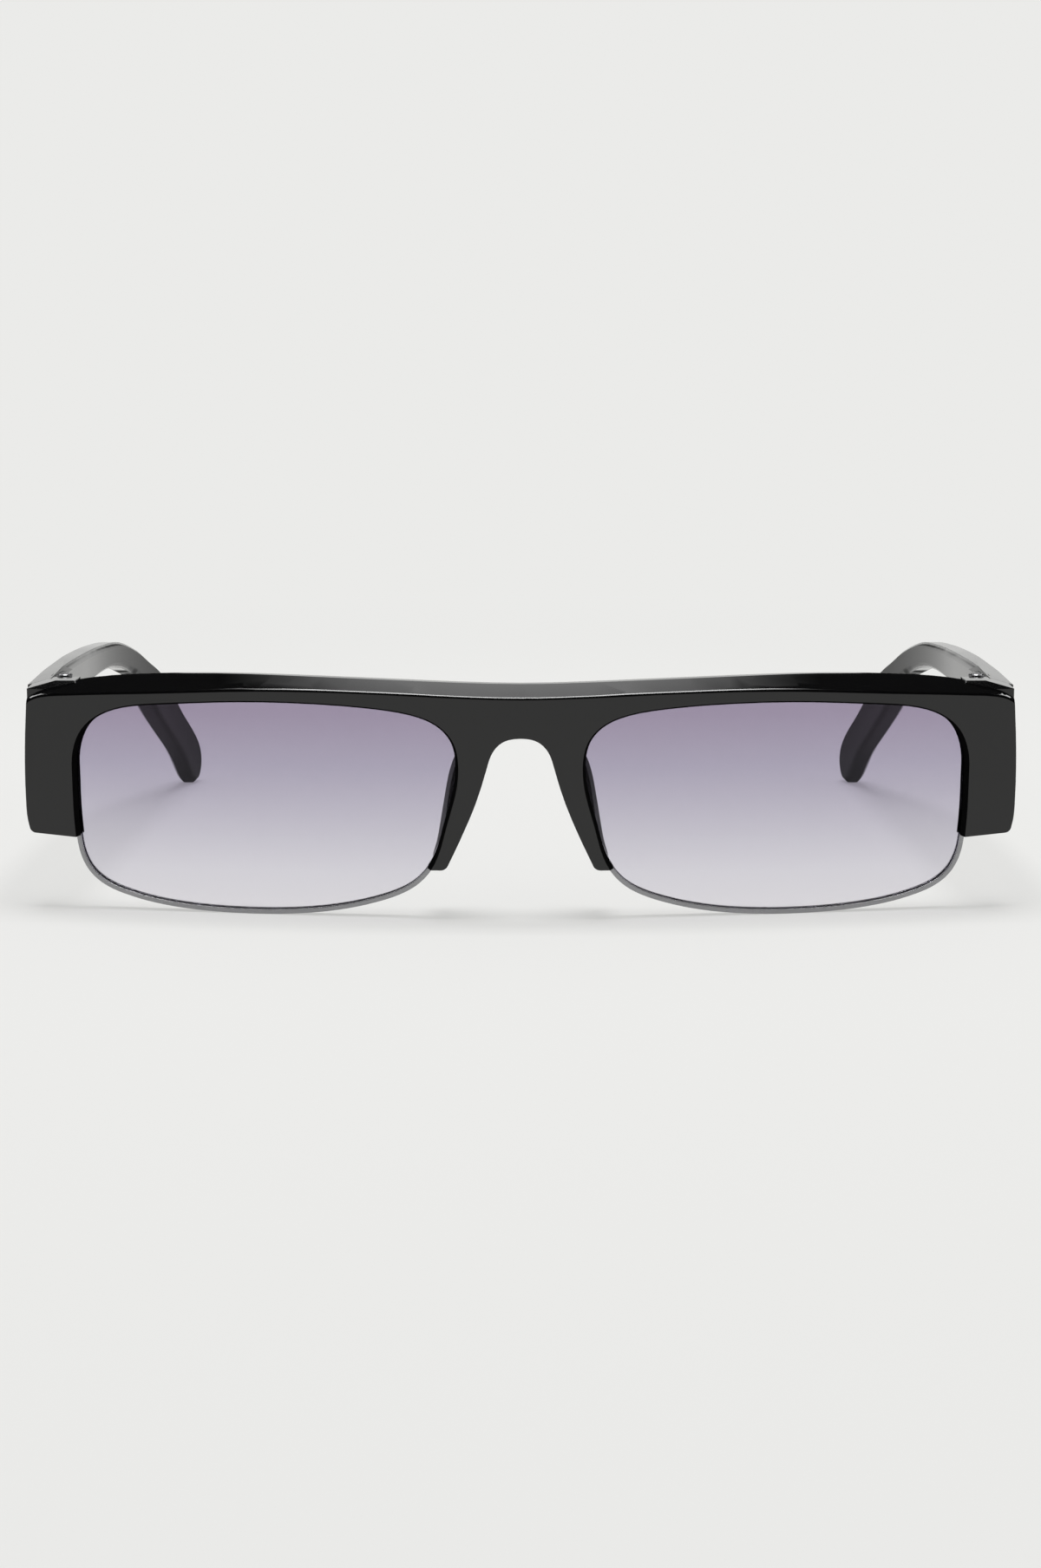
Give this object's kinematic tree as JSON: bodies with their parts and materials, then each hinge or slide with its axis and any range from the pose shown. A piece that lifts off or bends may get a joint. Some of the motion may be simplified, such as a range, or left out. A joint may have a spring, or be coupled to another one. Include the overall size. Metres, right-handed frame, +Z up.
{
  "type": "sunglasses",
  "caption": "Half-rim sunglasses with a chunky bevelled black brow frame, thin metal lower rims, gradient tinted lenses and slim folding temples with dropped, inward curled ear tips.",
  "frame": {"origin": "On the table under the middle of the object, which stands open on its lower rims and ear tips.", "axes": "+X to the wearer's left, +Y from the front frame back towards the ears, +Z up."},
  "size_m": [0.1456, 0.1388, 0.0349],
  "materials": {
    "frame_plastic": "polished black injected plastic",
    "temple_plastic": "polished black injected plastic",
    "pad_plastic": "black plastic, softly polished",
    "lens_tint": "violet grey tint that fades from the top edge to nearly clear at the bottom",
    "rim_metal": "satin gunmetal",
    "hinge_steel": "dark nickel plated"
  },
  "bodies": {
    "front": {"brow_front": "frame_plastic", "nose_pad_left": "pad_plastic", "nose_pad_right": "pad_plastic", "lens_left": "lens_tint", "lens_right": "lens_tint", "lower_rim_left": "rim_metal", "lower_rim_right": "rim_metal", "rim_screw_left": "hinge_steel", "rim_screw_right": "hinge_steel", "front_hinge_left": "hinge_steel", "front_hinge_right": "hinge_steel", "hinge_screw_left": "hinge_steel", "hinge_screw_right": "hinge_steel"},
    "temple_left_body": {"temple_left": "temple_plastic", "temple_hinge_left": "hinge_steel", "core_strip_left": "hinge_steel"},
    "temple_right_body": {"temple_right": "temple_plastic", "temple_hinge_right": "hinge_steel", "core_strip_right": "hinge_steel"}
  },
  "joints": [
    {"name": "fold_left", "type": "hinge", "parent": "front", "child": "temple_left_body", "pos_m": [0.0675, -0.05242, 0.0305], "axis": [0, 0, 1], "range_deg": [0, 88]},
    {"name": "fold_right", "type": "hinge", "parent": "front", "child": "temple_right_body", "pos_m": [-0.0675, -0.05242, 0.0305], "axis": [0, 0, -1], "range_deg": [0, 83]}
  ]
}
